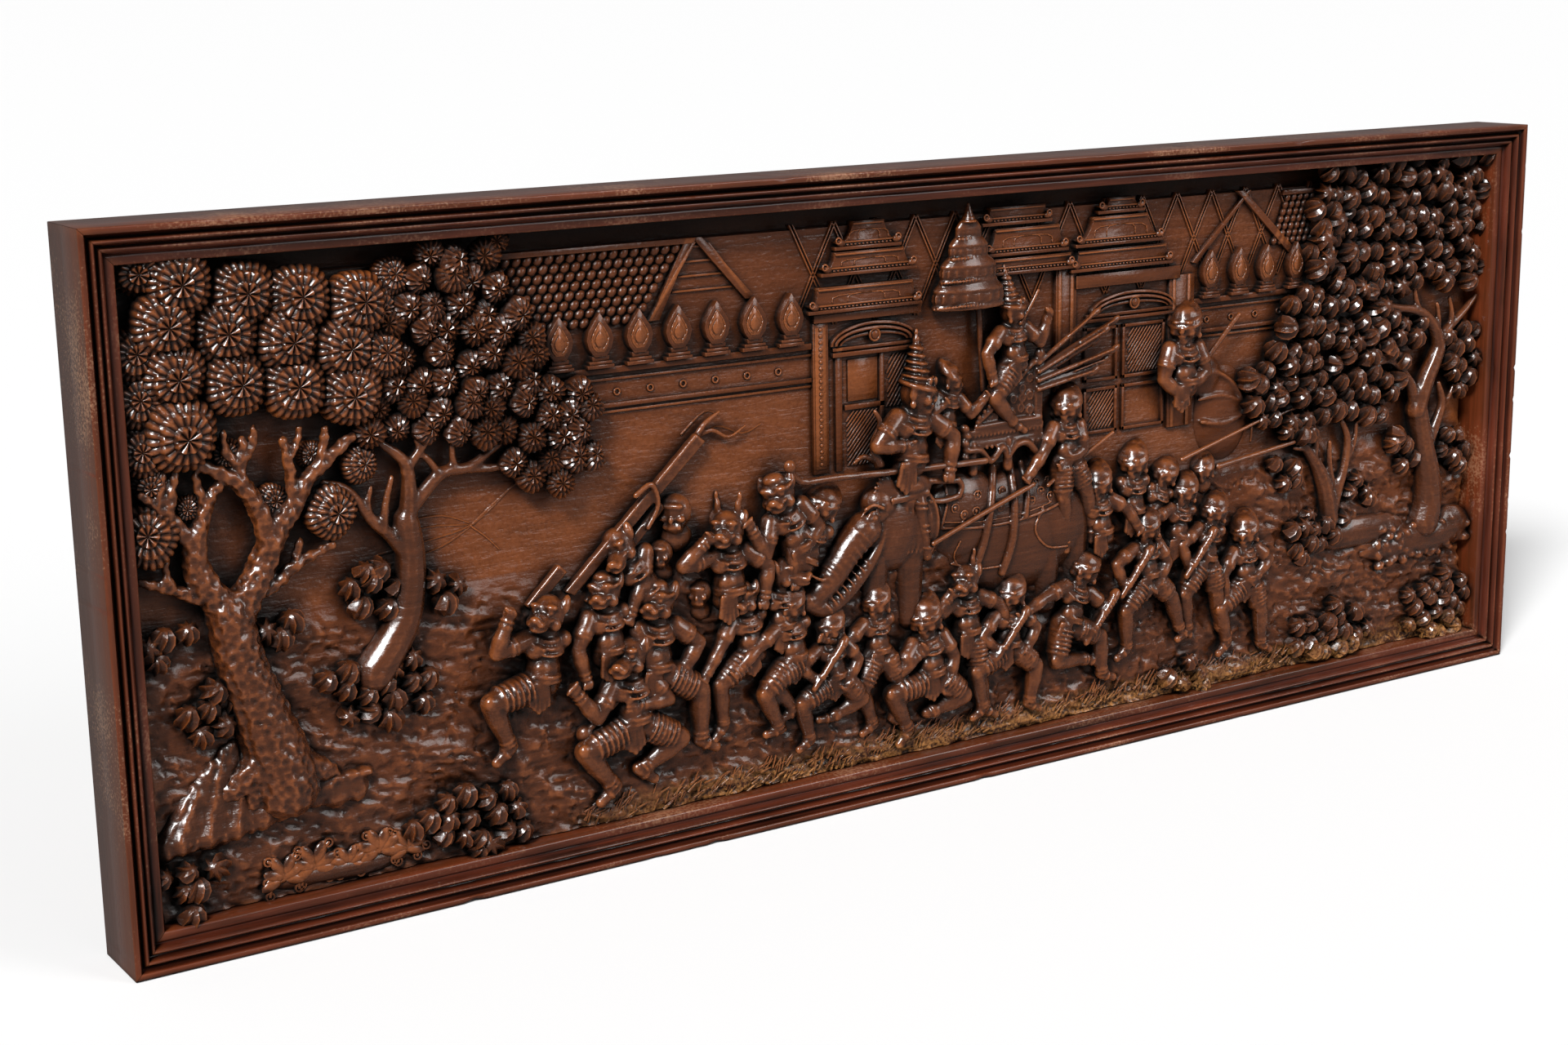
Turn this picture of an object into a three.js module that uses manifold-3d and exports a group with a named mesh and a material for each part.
// A carved hardwood wall panel: one deep-relief board in a moulded, mitred frame.
// Millimetres. X runs along the panel, Z up, and the front faces -Y.
// The origin is the centre of the flat back, where the panel meets the wall.

import * as THREE from 'three';
import { mergeVertices } from 'three/addons/utils/BufferGeometryUtils.js';
import Module from 'manifold-3d';

const wasm = await Module();
wasm.setup();

// Overall sizes
const WIDTH = 2000;
const HEIGHT = 750;
const DEPTH = 90;
const FACE = 39;
const MITRE_GAP = 0.25;
const FIT_GAP = 0.4;

// Levels of the relief, each as a depth behind the frame's front
const WALL_LEVEL = 54;
const TONGUE_LEVEL = 78;
const REBATE = 9;
const BOARD_LEFT = -955;
const BOARD_RIGHT = 948;
const BOARD_TOP = 310;
const BOARD_BOTTOM = -335;
const ROOT = 60;

// Places are given as they look on one plane of the relief, from one standpoint in front of it
const EYE = { x: -1698, y: 2260, z: 607 };
const READING_LEVEL = 40;

// Facets of round forms, and how far the back of a rounded one splays to root in the ground
const RIDGE_SIDES = 3;
const TRUNK_SIDES = 5;
const ROSETTE_SIDES = 7;
const LEAF_SIDES = 5;
const SHARPEST_BEND = 75;
const SPLAY = 2;

const radians = THREE.MathUtils.degToRad;

// Turns a closed geometry into a solid that can be joined and cut
function solid(geometry) {
  const bare = geometry.clone();
  bare.deleteAttribute('normal');
  bare.deleteAttribute('uv');
  const merged = mergeVertices(bare, 1e-3);
  const corners = merged.index.array;
  const kept = [];
  for (let i = 0; i < corners.length; i += 3) {
    const [a, b, c] = [corners[i], corners[i + 1], corners[i + 2]];
    if (a !== b && b !== c && c !== a) kept.push(a, b, c);
  }
  const vertProperties = new Float32Array(merged.attributes.position.array);
  const triVerts = Uint32Array.from(kept);
  return new wasm.Manifold(new wasm.Mesh({ numProp: 3, vertProperties, triVerts }));
}

// Gives a joined solid back as a geometry
function geometryOf(joined) {
  const mesh = joined.getMesh();
  const geometry = new THREE.BufferGeometry();
  geometry.setAttribute('position', new THREE.BufferAttribute(mesh.vertProperties, 3));
  geometry.setIndex(new THREE.BufferAttribute(mesh.triVerts, 1));
  geometry.computeVertexNormals();
  return geometry;
}

// The point at a depth behind the front that looks, from the standpoint, to be at x, z
function spot(x, z, depth) {
  const further = (depth - READING_LEVEL) / (READING_LEVEL + EYE.y);
  return new THREE.Vector3(x + further * (x - EYE.x), depth - DEPTH, z + further * (z - EYE.z));
}

// The end of a bone: an angle from straight down, positive to the right, and a length
function along([x, z], angle, length) {
  return [x + length * Math.sin(radians(angle)), z - length * Math.cos(radians(angle))];
}

function block(left, right, bottom, top, front, back = ROOT) {
  const low = spot(left, bottom, front);
  const high = spot(right, top, front);
  const geometry = new THREE.BoxGeometry(high.x - low.x, back - front, high.z - low.z);
  geometry.translate((low.x + high.x) / 2, (front + back) / 2 - DEPTH, (low.z + high.z) / 2);
  return solid(geometry);
}

// A flat shape, given by its corners as they look, raised to a depth
function plate(corners, front, back = ROOT) {
  const places = corners.map(([x, z]) => spot(x, z, front));
  const shape = new THREE.Shape(places.map((place) => new THREE.Vector2(place.x, place.z)));
  const geometry = new THREE.ExtrudeGeometry(shape, { depth: back - front, bevelEnabled: false });
  geometry.rotateX(Math.PI / 2);
  geometry.translate(0, back - DEPTH, 0);
  return solid(geometry);
}

// A tapered form through points, bent in the plane of the panel: rounded in front, splayed behind
function tube(points, radii, sides = RIDGE_SIDES, deep = 1) {
  const steps = points.length - 1;
  const geometry = new THREE.CylinderGeometry(1, 1, steps, sides, steps, false, Math.PI);
  const position = geometry.attributes.position;
  for (let i = 0; i < position.count; i += 1) {
    const step = Math.round(position.getY(i) + steps / 2);
    const behind = position.getZ(i) > 0.01;
    const across = position.getX(i) * radii[step] * (behind ? SPLAY : 1);
    const place = points[step];
    const level = behind ? ROOT - DEPTH : place.y + position.getZ(i) * radii[step] * deep;
    const [before, after] = [points[Math.max(step - 1, 0)], points[Math.min(step + 1, steps)]];
    const forward = after.clone().sub(before).setY(0).normalize();
    position.setXYZ(i, place.x - forward.z * across, level, place.z + forward.x * across);
  }
  return solid(geometry);
}

// The turn in degrees between two stretches
function bend(before, here, after) {
  return THREE.MathUtils.radToDeg(here.clone().sub(before).angleTo(after.clone().sub(here)));
}

// Tubes through points, starting again wherever one would fold over itself
function limb(points, radii, sides = RIDGE_SIDES) {
  const pieces = [];
  let start = 0;
  for (let i = 1; i < points.length; i += 1) {
    const last = i === points.length - 1;
    if (last || bend(points[i - 1], points[i], points[i + 1]) > SHARPEST_BEND) {
      pieces.push(tube(points.slice(start, i + 1), radii.slice(start, i + 1), sides));
      start = i;
    }
  }
  return pieces;
}

// A tapered run through places, such as a branch
function branch(places, startRadius, endRadius, level, sides = RIDGE_SIDES, deep = 1) {
  const steps = places.length - 1;
  const points = places.map((place) => spot(...place, level));
  const radii = places.map((place, i) => THREE.MathUtils.lerp(startRadius, endRadius, i / steps));
  return tube(points, radii, sides, deep);
}

// A straight bar between two places, such as a spear or a club
function bar(from, to, radius, level) {
  return branch([from, to], radius, radius, level);
}

// An egg-shaped mass; tilt turns it in the plane of the panel
function mass(x, z, depth, halfX, halfZ, halfDepth, tilt = 0, around = 7, rings = 4) {
  const geometry = new THREE.SphereGeometry(1, around, rings);
  geometry.scale(halfX, halfDepth, halfZ);
  geometry.rotateY(radians(tilt));
  const centre = spot(x, z, depth);
  geometry.translate(centre.x, centre.y, centre.z);
  return solid(geometry);
}

// A pointed stud on a raised ground, the plain form of a small leaf head
function stud(x, z, radius, front, foot) {
  const geometry = new THREE.ConeGeometry(radius, foot - front, LEAF_SIDES);
  geometry.rotateX(Math.PI);
  const centre = spot(x, z, front);
  geometry.translate(centre.x, (front + foot) / 2 - DEPTH, centre.z);
  return solid(geometry);
}

// A wide leaf head: a boss that closes in a shallow dome
function boss(x, z, radius, front, foot, rise) {
  const reach = foot - front;
  const profile = [[0, 0], [radius, 0], [radius, reach - rise], [0, reach]];
  const points = profile.map(([across, up]) => new THREE.Vector2(across, up));
  const geometry = new THREE.LatheGeometry(points, ROSETTE_SIDES);
  geometry.rotateX(Math.PI);
  const centre = spot(x, z, front);
  geometry.translate(centre.x, foot - DEPTH, centre.z);
  return solid(geometry);
}

// Frame: one moulded section, a fillet, two rounded ridges and an inner lip, mitred at both ends
const MOULDING = { fillet: 7, cove: 4, ridge: 7, groove: 2 };

function mouldingShape() {
  const shape = new THREE.Shape();
  const ridgeOne = MOULDING.fillet + MOULDING.cove;
  const ridgeTwo = ridgeOne + MOULDING.ridge + MOULDING.groove;
  const inner = ridgeTwo + MOULDING.ridge + MOULDING.groove;
  shape.moveTo(0, 0.8);
  shape.lineTo(0.8, 0);
  shape.lineTo(MOULDING.fillet - 0.6, 0);
  shape.lineTo(MOULDING.fillet + 0.4, 4.5);
  shape.lineTo(ridgeOne, 9);
  shape.quadraticCurveTo(ridgeOne + MOULDING.ridge / 2, 2.5, ridgeOne + MOULDING.ridge, 9);
  shape.lineTo(ridgeTwo - 1, 11.5);
  shape.lineTo(ridgeTwo, 11);
  shape.quadraticCurveTo(ridgeTwo + MOULDING.ridge / 2, 7.5, ridgeTwo + MOULDING.ridge, 15);
  shape.lineTo(inner - 1, 18);
  shape.lineTo(inner + 1.5, 17.5);
  shape.lineTo(FACE - 1, 18.5);
  shape.lineTo(FACE, 20);
  shape.lineTo(FACE, TONGUE_LEVEL - FIT_GAP);
  shape.lineTo(FACE - REBATE, TONGUE_LEVEL - FIT_GAP);
  shape.lineTo(FACE - REBATE, DEPTH);
  shape.lineTo(0, DEPTH);
  return shape;
}

function rail(name, halfLong, halfShort, turn) {
  const settings = { depth: 1, bevelEnabled: false, curveSegments: 3 };
  const geometry = new THREE.ExtrudeGeometry(mouldingShape(), settings);
  const position = geometry.attributes.position;
  for (let i = 0; i < position.count; i += 1) {
    const inward = position.getX(i);
    const side = position.getZ(i) > 0.5 ? 1 : -1;
    const level = position.getY(i) - DEPTH;
    position.setXYZ(i, side * (halfLong - inward - MITRE_GAP), level, halfShort - inward);
  }
  geometry.computeVertexNormals();
  const mesh = new THREE.Mesh(geometry, frameWood);
  mesh.name = name;
  mesh.rotation.y = radians(turn);
  return mesh;
}

// The board: carving blank, the tongue that sits in the frame's rebate, and the rising ground
function slab(width, height, front, back = DEPTH, centreX = 0, centreZ = 0) {
  const geometry = new THREE.BoxGeometry(width, back - front, height);
  geometry.translate(centreX, (front + back) / 2 - DEPTH, centreZ);
  return solid(geometry);
}

function board() {
  const middleX = (BOARD_LEFT + BOARD_RIGHT) / 2;
  const middleZ = (BOARD_TOP + BOARD_BOTTOM) / 2;
  const blank = slab(BOARD_RIGHT - BOARD_LEFT, BOARD_TOP - BOARD_BOTTOM, WALL_LEVEL, DEPTH, middleX, middleZ);
  return [blank, tongue(), ground()];
}

function tongue() {
  const border = 2 * (FACE - REBATE + FIT_GAP);
  return slab(WIDTH - border, HEIGHT - border, TONGUE_LEVEL);
}

function ground() {
  const profile = [[ROOT, -30], [WALL_LEVEL, -33], [47, -60], [40, BOARD_BOTTOM], [ROOT, BOARD_BOTTOM]];
  const shape = new THREE.Shape(profile.map(([depth, z]) => new THREE.Vector2(depth - DEPTH, z)));
  const geometry = new THREE.ExtrudeGeometry(shape, { depth: BOARD_RIGHT - BOARD_LEFT, bevelEnabled: false });
  geometry.rotateX(Math.PI / 2);
  geometry.rotateZ(Math.PI / 2);
  geometry.translate(BOARD_LEFT, 0, 0);
  return solid(geometry);
}

// City wall: parapet buds on feet, string courses and the roofs behind
const BUD = { width: 33, height: 47, foot: 11, level: 44 };

function bud(x, top) {
  const half = BUD.width / 2;
  const low = top - BUD.height;
  const waist = half / 2;
  const outline = [[x - waist, low], [x + waist, low], [x + half, low + 16], [x, top], [x - half, low + 16]];
  return plate(outline, BUD.level);
}

function cityWall() {
  const pieces = [];
  for (let i = 0; i < 7; i += 1) pieces.push(bud(-478 + i * 49.6, 240));
  for (let i = 0; i < 3; i += 1) pieces.push(bud(512 + i * 51, 240));
  pieces.push(block(-496, -162, 240 - BUD.height - BUD.foot, 241 - BUD.height, BUD.level + 3));
  pieces.push(block(492, 632, 240 - BUD.height - BUD.foot, 241 - BUD.height, BUD.level + 3));
  pieces.push(block(-560, -150, 174, 182, 49));
  pieces.push(block(-560, -150, 132, 141, 50));
  pieces.push(block(430, 660, 168, 180, 49));
  pieces.push(block(430, 640, 130, 138, 51));
  pieces.push(plate([[-640, 225], [-363, 225], [-309, 313], [-640, 313]], 50));
  pieces.push(plate([[-309, 313], [-296, 313], [-228, 238], [-242, 238]], 49));
  pieces.push(plate([[512, 313], [526, 313], [608, 232], [594, 226]], 48));
  pieces.push(plate([[515, 310], [503, 313], [420, 232], [434, 226]], 48));
  return pieces;
}

// Gatehouses: tiers that narrow upwards, a round arch over a lintel, panelled doors and side columns
function tier(left, right, bottom, top, lean, level) {
  return plate([[left, bottom], [right, bottom], [right - lean, top], [left + lean, top]], level);
}

function arch(left, right, bottom, top, level) {
  const steps = 6;
  const thick = 9;
  const curve = (halfWidth, height) => Array.from({ length: steps + 1 }, (_, i) => {
    const angle = (Math.PI * i) / steps;
    return [(left + right) / 2 + halfWidth * Math.cos(angle), bottom + height * Math.sin(angle)];
  });
  const outer = curve((right - left) / 2, top - bottom);
  const inner = curve((right - left) / 2 - thick, top - bottom - thick);
  return plate([...outer, ...inner.reverse()], level);
}

function gatehouses() {
  return [
    tier(-117, -29, 284, 316, 22, 47), tier(-136, -7, 255, 282, 16, 45), tier(-154, 0, 213, 243, 10, 43),
    block(-150, 2, 203, 213, 46), block(-150, -129, 27, 203, 48), block(-118, -108, 27, 170, 50),
    arch(-127, -4, 173, 198, 47), block(-122, 0, 162, 172, 47), block(-104, -56, 98, 106, 50),
    block(-56, -48, 27, 160, 50), tier(-104, -60, 112, 158, 0, 52),
    tier(96, 196, 294, 318, 8, 47), tier(100, 222, 258, 294, 12, 46), tier(84, 232, 236, 256, 3, 44),
    block(206, 240, 60, 236, 48),
    tier(275, 344, 299, 318, 14, 46), tier(240, 376, 258, 298, 24, 44), tier(233, 392, 228, 256, 8, 45),
    block(238, 408, 210, 228, 46), arch(262, 402, 176, 200, 47), block(255, 405, 168, 176, 47),
    block(388, 432, 20, 214, 49), block(306, 314, 22, 166, 50), block(244, 252, 22, 166, 50),
    block(252, 306, 84, 92, 50),
  ];
}

// State parasol: stacked shallow bells under a finial
function parasol() {
  const x = 71;
  const bells = [[52, 203, 236], [40, 234, 263], [26, 262, 285], [17, 284, 303]];
  const pieces = bells.map(([half, bottom, top]) => {
    const places = [spot(x, bottom, 46), spot(x, top, 46)];
    return tube(places, [half, half * 0.74], 6, 18 / half);
  });
  pieces.push(bar([x, 300], [x, 324], 5, 42));
  pieces.push(bar([86, 208], [94, 100], 5, 44));
  return pieces;
}

// Trees: trunks that fork into tapering limbs
function bigTree() {
  const level = 36;
  return [
    branch([[-833, -205], [-840, -150], [-848, -82], [-862, -24]], 36, 18, level + 4, TRUNK_SIDES, 0.6),
    branch([[-860, -30], [-892, 21], [-894, 56]], 17, 11, level),
    branch([[-894, 50], [-926, 90], [-946, 112]], 9, 4, level),
    branch([[-894, 50], [-878, 90], [-866, 108]], 9, 5, level),
    branch([[-884, 0], [-921, 9], [-953, 21]], 8, 3, level),
    branch([[-856, -30], [-831, 11], [-813, 50]], 17, 13, level),
    branch([[-816, 40], [-823, 72], [-838, 102], [-882, 130]], 11, 6, level),
    branch([[-838, 102], [-856, 160]], 6, 4, level),
    branch([[-816, 40], [-794, 74], [-774, 100], [-725, 139]], 12, 5, level),
    branch([[-785, 86], [-794, 144]], 6, 4, level),
    branch([[-823, -5], [-789, 16], [-750, 31]], 8, 4, level),
  ];
}

function secondTree() {
  const level = 40;
  return [
    branch([[-705, -108], [-674, -56], [-664, 2], [-666, 41]], 22, 14, level, TRUNK_SIDES, 0.8),
    branch([[-668, 10], [-705, 51], [-730, 85], [-755, 97]], 9, 4, level),
    branch([[-666, 36], [-661, 70], [-664, 105], [-691, 130]], 13, 5, level),
    branch([[-663, 98], [-629, 134]], 6, 4, level),
    branch([[-658, 56], [-622, 90], [-580, 97], [-545, 118]], 9, 4, level),
    branch([[-605, 92], [-540, 88], [-520, 78]], 5, 3, level),
  ];
}

function rightTrees() {
  const level = 38;
  return [
    branch([[873, -160], [873, -106], [853, -33], [846, 0]], 24, 16, level, TRUNK_SIDES, 0.8),
    branch([[846, -6], [822, 41], [794, 66], [750, 62]], 10, 4, level),
    branch([[846, -6], [868, 51], [884, 80], [868, 112], [794, 139], [742, 158]], 16, 4, level),
    branch([[878, 70], [898, 95], [932, 120], [957, 139]], 9, 4, level),
    branch([[868, -60], [898, -3], [890, 22]], 10, 5, level),
    branch([[686, -138], [672, -90], [652, -57], [613, -8]], 14, 5, level),
    branch([[690, -130], [711, -72], [716, -33], [700, 2]], 9, 4, level),
  ];
}

// Places packed in staggered rows inside an outline
function packed(outline, pitch, slant = 0) {
  const places = [];
  const left = Math.min(...outline.map(([x]) => x));
  const right = Math.max(...outline.map(([x]) => x));
  const top = Math.max(...outline.map(([, z]) => z));
  const bottom = Math.min(...outline.map(([, z]) => z));
  const rise = pitch * 0.86;
  for (let row = 0; top - row * rise > bottom - slant * (right - left); row += 1) {
    for (let x = left + (row % 2 ? pitch / 2 : 0); x <= right; x += pitch) {
      const z = top + slant * (right - left) / 2 - row * rise - (x - left) * slant;
      if (inside(outline, x, z)) places.push([x, z]);
    }
  }
  return places;
}

function inside(outline, x, z) {
  let odd = false;
  outline.forEach(([ax, az], i) => {
    const [bx, bz] = outline[(i + 1) % outline.length];
    if (az > z !== bz > z && x < ax + ((z - az) / (bz - az)) * (bx - ax)) odd = !odd;
  });
  return odd;
}

// Leaf heads of the first tree: slanting rows of wide bosses over a ground of leaves
function bigCrown() {
  const pitch = 61;
  const rows = [[-894, 311, 4], [-912, 272, 4], [-905, 222, 4], [-904, 166, 1]];
  const pieces = [plate([[-955, 330], [-700, 310], [-690, 170], [-850, 160], [-900, 140], [-955, 140]], 42)];
  for (const [left, top, count] of rows) {
    for (let i = 0; i < count; i += 1) pieces.push(boss(left + i * pitch, top - i * 12, 32, 20, 44, 13));
  }
  pieces.push(boss(-688, 223, 21, 28, 44, 10));
  pieces.push(boss(-752, 66, 25, 28, ROOT, 10));
  pieces.push(boss(-941, 66, 25, 32, ROOT, 10));
  for (const [x, z] of [[-716, 112], [-858, 137], [-813, 85]]) pieces.push(stud(x, z, 19, 34, ROOT));
  return pieces;
}

// Crowns and bushes of small round leaf heads
const CROWNS = [
  { pitch: 49, slant: 0.12, level: 38, outline: [
    [-630, 330], [-545, 334], [-515, 245], [-475, 190], [-440, 140], [-450, 68], [-530, 64], [-560, 128],
    [-700, 140], [-700, 196], [-672, 262], [-650, 300]] },
  { pitch: 50, slant: 0.05, level: 40, outline: [
    [682, 334], [960, 334], [962, 160], [760, 158], [634, 200], [626, 262], [690, 300]] },
  { pitch: 50, slant: 0.05, level: 40, outline: [
    [634, 190], [765, 176], [770, 130], [852, 110], [830, 76], [765, -22], [640, -18], [530, 8], [528, 62]] },
];

const BUSH_PITCH = 48;
const BUSHES = [
  [-932, -44, 34, 20], [-802, -44, 32, 20], [-708, -16, 24, 36], [-630, -40, 16, 30], [-703, -128, 68, 38],
  [-896, -128, 32, 26], [-925, -304, 34, 32], [-604, -294, 72, 40], [596, -62, 24, 24], [820, -64, 28, 26],
  [925, -68, 26, 32], [742, -108, 26, 22], [662, -158, 62, 28], [696, -302, 70, 36], [902, -292, 64, 44],
  [430, -320, 42, 20], [930, 60, 34, 54],
];

function oval(x, z, halfX, halfZ, corners = 6) {
  return Array.from({ length: corners }, (_, i) => {
    const angle = (2 * Math.PI * (i + 0.5)) / corners;
    return [x + halfX * Math.cos(angle), z + halfZ * Math.sin(angle)];
  });
}

function leafHeads(outline, pitch, slant, level) {
  const heads = packed(outline, pitch, slant).map(([x, z]) => stud(x, z, pitch * 0.52, level - 14, level + 5));
  return [plate(outline, level), ...heads];
}

function foliage() {
  const pieces = CROWNS.flatMap(({ outline, pitch, slant, level }) => leafHeads(outline, pitch, slant, level));
  for (const [x, z, halfX, halfZ] of BUSHES) {
    pieces.push(...leafHeads(oval(x, z, halfX, halfZ), BUSH_PITCH, 0, z < -200 ? 33 : 40));
  }
  return pieces;
}

// Rocks and ledges at the feet of the trees
function rocks() {
  return [
    mass(-880, -215, 48, 78, 46, 24, 8),
    mass(-795, -222, 48, 70, 34, 22, -10),
    mass(-765, -310, 46, 84, 18, 18),
    mass(870, -186, 52, 92, 32, 20),
    mass(740, -160, 54, 90, 30, 16),
  ];
}

// Figures: every bone has an angle from straight down and a length at the figure's size
const BODY = {
  head: 20, neck: 25, trunk: 44, shoulder: 19, hip: 9, upperArm: 33, foreArm: 34, thigh: 46, shin: 54,
};
const RANKS = { front: 41, middle: 43, back: 46 };
const SNOUTS = { hound: 30, ogre: 22, horned: 25 };

function headOf({ at, size, head, look = -1 }, level) {
  const [x, z] = at;
  if (head in SNOUTS) {
    const tip = [x + look * SNOUTS[head] * size, z - 9 * size];
    return [branch([[x, z], tip], 14 * size, 8 * size, level - 3)];
  }
  if (head === 'crown') {
    const tip = [x + look * 14 * size, z + 52 * size];
    return [branch([[x, z + 8], tip], 15 * size, 3, level)];
  }
  return [];
}

function arm(shoulder, [upper, fore], size, level) {
  const elbow = along(shoulder, upper, BODY.upperArm * size);
  const hand = along(elbow, fore, BODY.foreArm * size);
  const points = [spot(...shoulder, level), spot(...elbow, level - 3), spot(...hand, level - 4)];
  return { hand, solids: limb(points, [12 * size, 11 * size, 9 * size]) };
}

// The points of a leg, from the knee down
function shank(hip, [upper, lower], size, level) {
  const knee = along(hip, upper, BODY.thigh * size);
  const ankle = along(knee, lower, BODY.shin * size);
  return [spot(...knee, level - 3), spot(...ankle, level)];
}

function figure(pose) {
  const { at, size, lean = 0, arms = [], legs = [] } = pose;
  const level = RANKS[pose.rank];
  const crown = along(at, lean + 180, BODY.head * 0.6 * size);
  const neck = along(at, lean, BODY.neck * 0.7 * size);
  const chest = along(at, lean, BODY.neck * 1.2 * size);
  const hips = along(chest, lean, BODY.trunk * size);
  const spine = [crown, neck, chest, hips].map((place) => spot(...place, level));
  const girth = [22, 14, 24, 20, 16, 9].map((radius) => radius * size);
  if (pose.bare) return [tube(spine.slice(0, 2), girth.slice(0, 2)), ...headOf(pose, level)];
  const [standing, ...others] = legs.map(([side, ...bones]) => {
    return shank(along(hips, lean + 90, side * BODY.hip * size), bones, size, level);
  });
  const pieces = [...limb([...spine, ...(standing ?? [])], girth), ...headOf(pose, level)];
  for (const lower of others) pieces.push(...limb([spine[3], ...lower], girth.slice(3)));
  for (const [side, ...bones] of arms) {
    const shoulder = along(chest, lean + 90, side * BODY.shoulder * size);
    const { hand, solids } = arm(shoulder, bones, size, level - 4);
    pieces.push(...solids);
    if (pose.club === side) {
      pieces.push(bar(along(hand, -40, 6), along(hand, 140, 58 * size), 7 * size, level - 8));
    }
  }
  return pieces;
}

// The procession: side is -1 for a limb on the left, 1 on the right, then the bones' angles
const PROCESSION = [
  { at: [-505, -82], size: 1.15, lean: -8, head: 'hound', rank: 'front',
    arms: [[-1, -76, 156]], legs: [[-1, -76, 21]] },
  { at: [-434, -67], size: 1.1, lean: 3, head: 'ogre', rank: 'middle' },
  { at: [-414, -18], size: 1.1, lean: 30, head: 'mask', rank: 'back', bare: true },
  { at: [-340, 8], size: 1.1, head: 'mask', rank: 'back', bare: true },
  { at: [-368, -89], size: 1.22, lean: -4, head: 'ogre', rank: 'middle',
    arms: [[-1, 20, 60], [1, 52, -36]], legs: [[1, 60, 0]] },
  { at: [-406, -146], size: 1.2, lean: 3, head: 'hound', rank: 'front',
    arms: [[-1, -29, -143], [1, 38, -90]], legs: [[-1, -70, 36], [1, 62, -62]] },
  { at: [-272, -20], size: 1.15, head: 'horned', rank: 'middle', arms: [[-1, -80, 128], [1, 55, -10]] },
  { at: [-311, -89], size: 0.8, head: 'mask', rank: 'back', bare: true },
  { at: [-203, 14], size: 1.15, lean: 20, head: 'ogre', rank: 'middle', arms: [[-1, -10, -150]] },
  { at: [-144, -11], size: 1.05, lean: -24, head: 'turban', rank: 'middle' },
  { at: [-201, -82], size: 1.0, head: 'hound', look: 1, rank: 'middle', bare: true },
  { at: [-253, -103], size: 1.0, lean: 8, head: 'ogre', rank: 'middle',
    arms: [[-1, -30, -34]], legs: [[-1, -50, 5]] },
  { at: [-191, -122], size: 1.0, lean: 5, head: 'turban', rank: 'front',
    arms: [[-1, -55, -50]], legs: [[-1, -44, 24], [1, -60, 40]] },
  { at: [-134, -158], size: 0.95, lean: 5, head: 'turban', rank: 'front', club: -1,
    arms: [[-1, -60, 50], [1, 40, -30]], legs: [[-1, -60, 14], [1, 46, -70]] },
  { at: [-68, -138], size: 0.95, lean: 3, head: 'turban', rank: 'middle',
    arms: [[-1, -50, -110]], legs: [[-1, -20, 20], [1, 30, -10]] },
  { at: [5, -170], size: 1.1, lean: 8, head: 'turban', rank: 'front',
    arms: [[-1, -30, 124], [1, 32, -14]], legs: [[-1, -78, 26], [1, 50, -76]] },
  { at: [66, -130], size: 1.05, lean: 3, head: 'horned', rank: 'middle',
    arms: [[-1, -64, 130], [1, 66, 24]], legs: [[1, 10, 10]] },
  { at: [136, -160], size: 1.0, lean: -3, head: 'turban', rank: 'front', club: -1,
    arms: [[-1, -42, 52], [1, 46, -30]], legs: [[-1, -60, 14], [1, 52, -12]] },
  { at: [253, -146], size: 1.05, lean: -20, head: 'turban', rank: 'front', club: 1,
    arms: [[-1, -72, -66], [1, 48, -33]], legs: [[-1, -10, 84], [1, 66, 6]] },
  { at: [274, -38], size: 1.0, lean: 6, head: 'turban', rank: 'middle' },
  { at: [356, -106], size: 1.0, lean: 3, head: 'turban', rank: 'front', club: -1,
    arms: [[-1, -60, 26], [1, 34, -32]], legs: [[-1, -34, 4], [1, 48, 20]] },
  { at: [333, -18], size: 1.0, head: 'turban', rank: 'back', bare: true },
  { at: [386, -40], size: 0.9, lean: -20, head: 'turban', rank: 'back', bare: true },
  { at: [420, -67], size: 0.95, lean: -10, head: 'turban', rank: 'middle' },
  { at: [452, -42], size: 0.8, head: 'turban', rank: 'back', bare: true },
  { at: [472, -100], size: 1.0, lean: -12, head: 'turban', rank: 'front', club: -1,
    arms: [[-1, -56, 24]], legs: [[-1, -30, 8], [1, 20, 10]] },
  { at: [529, -136], size: 1.0, lean: 3, head: 'turban', rank: 'front',
    arms: [[-1, -30, 12], [1, 52, -48]], legs: [[-1, -48, 16], [1, 26, 4]] },
  { at: [415, 149], size: 1.15, head: 'turban', rank: 'back', arms: [[-1, -14, 50], [1, 26, -60]] },
  { at: [223, 66], size: 1.0, head: 'turban', rank: 'middle',
    arms: [[-1, -28, -40], [1, 14, -62]], legs: [[1, 6, 8]] },
  { at: [137, 193], size: 0.95, lean: 4, head: 'crown', look: 1, rank: 'middle',
    arms: [[-1, -40, 16], [1, 50, 160]], legs: [[-1, -30, 40]] },
  { at: [-5, 108], size: 1.25, lean: -8, head: 'crown', rank: 'middle',
    arms: [[-1, -42, 84], [1, 54, -8]] },
];

// The mass of bodies behind the front rank
function throng() {
  return [
    plate([[-530, -85], [-470, -50], [-340, 6], [-150, -14], [-40, -85]], 48.5),
    plate([[230, -85], [240, -20], [400, -14], [540, -85]], 48.5),
  ];
}

// The elephant: body, capped head, rolled-up trunk, forelegs and harness straps
function elephant() {
  return [
    mass(137, -79, 56, 120, 80, 28, 0, 10, 6),
    mass(-45, -48, 52, 54, 54, 28, 20, 8, 6),
    branch([[-88, -46], [-128, -98], [-160, -118]], 19, 13, 40),
    branch([[-160, -118], [-118, -126], [-78, -96], [-58, -56]], 13, 7, 38),
    bar([-160, -40], [-160, -108], 8, 38),
    block(-92, -50, -135, -80, 44),
    block(-70, -8, -150, -138, 40),
    bar([19, -79], [172, -26], 5, 28),
    branch([[-186, 41], [-160, 20], [98, 11]], 6, 6, 32),
  ];
}

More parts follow.
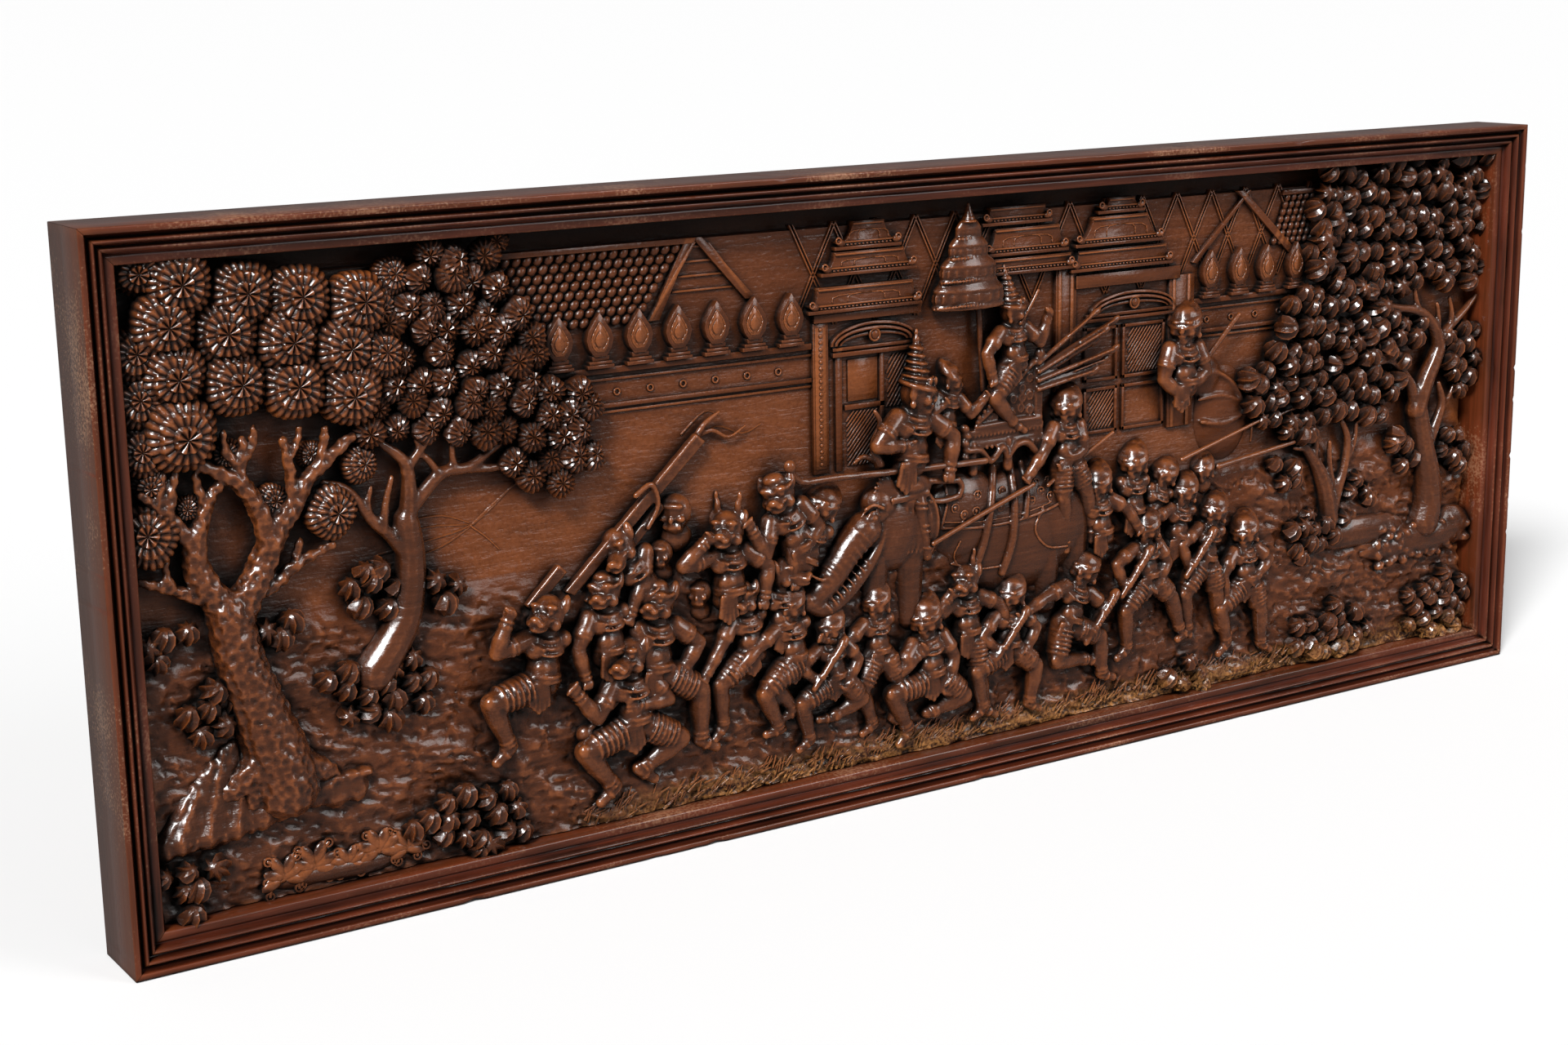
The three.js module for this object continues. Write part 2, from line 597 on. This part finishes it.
// The howdah: seat with a carved gable side, its stepped bed and the sheaf of arrows behind
function howdah() {
  const pieces = [
    plate([[84, 56], [180, 56], [180, 124], [166, 122], [106, 66]], 40), block(174, 187, 4, 126, 36),
    block(70, 186, 34, 58, 38), block(82, 182, 22, 34, 42), block(84, 98, 4, 24, 42),
    block(124, 136, 4, 24, 42), block(-60, 64, 6, 40, 48),
  ];
  for (let i = 0; i < 4; i += 1) {
    pieces.push(bar([182, 96 + i * 12], [262 + (i % 2) * 22, 116 + i * 22], 6, 40));
  }
  return pieces;
}

// The second rider's mount in low relief, poles, spears and beams that are carried
function armsAndPoles() {
  return [
    mass(482, 40, 54, 52, 68, 10),
    bar([403, 51], [510, 154], 4.5, 36),
    bar([417, -25], [554, 11], 4, 36),
    bar([480, -42], [616, -28], 5, 36),
    bar([-476, -57], [-304, 90], 10, 42),
    bar([-452, -66], [-350, 26], 7, 38),
    bar([-524, -66], [-483, -33], 7, 36),
    bar([150, 176], [178, 214], 5, 30),
  ];
}

// Joins every carved form to the board and trims it to the frame's opening
function carvedPanel() {
  const forms = [
    ...board(), ...cityWall(), ...gatehouses(), ...parasol(), ...bigTree(), ...secondTree(), ...rightTrees(),
    ...bigCrown(), ...foliage(), ...rocks(), ...throng(), ...elephant(), ...howdah(), ...armsAndPoles(),
    ...PROCESSION.flatMap(figure),
  ];
  const border = 2 * (FACE + FIT_GAP);
  const opening = slab(WIDTH - border, HEIGHT - border, 0);
  const joined = wasm.Manifold.union(forms).intersect(opening.add(tongue()));
  const mesh = new THREE.Mesh(geometryOf(joined), carvedWood);
  mesh.name = 'carved_panel';
  return mesh;
}

const frameWood = new THREE.MeshStandardMaterial({ color: 0x4a2013, roughness: 0.38, metalness: 0 });
const carvedWood = new THREE.MeshStandardMaterial({ color: 0x5a2d14, roughness: 0.34, metalness: 0 });

const panel = new THREE.Group();
panel.add(rail('frame_top_rail', WIDTH / 2, HEIGHT / 2, 0));
panel.add(rail('frame_bottom_rail', WIDTH / 2, HEIGHT / 2, 180));
panel.add(rail('frame_right_stile', HEIGHT / 2, WIDTH / 2, 90));
panel.add(rail('frame_left_stile', HEIGHT / 2, WIDTH / 2, -90));
panel.add(carvedPanel());

export default panel;
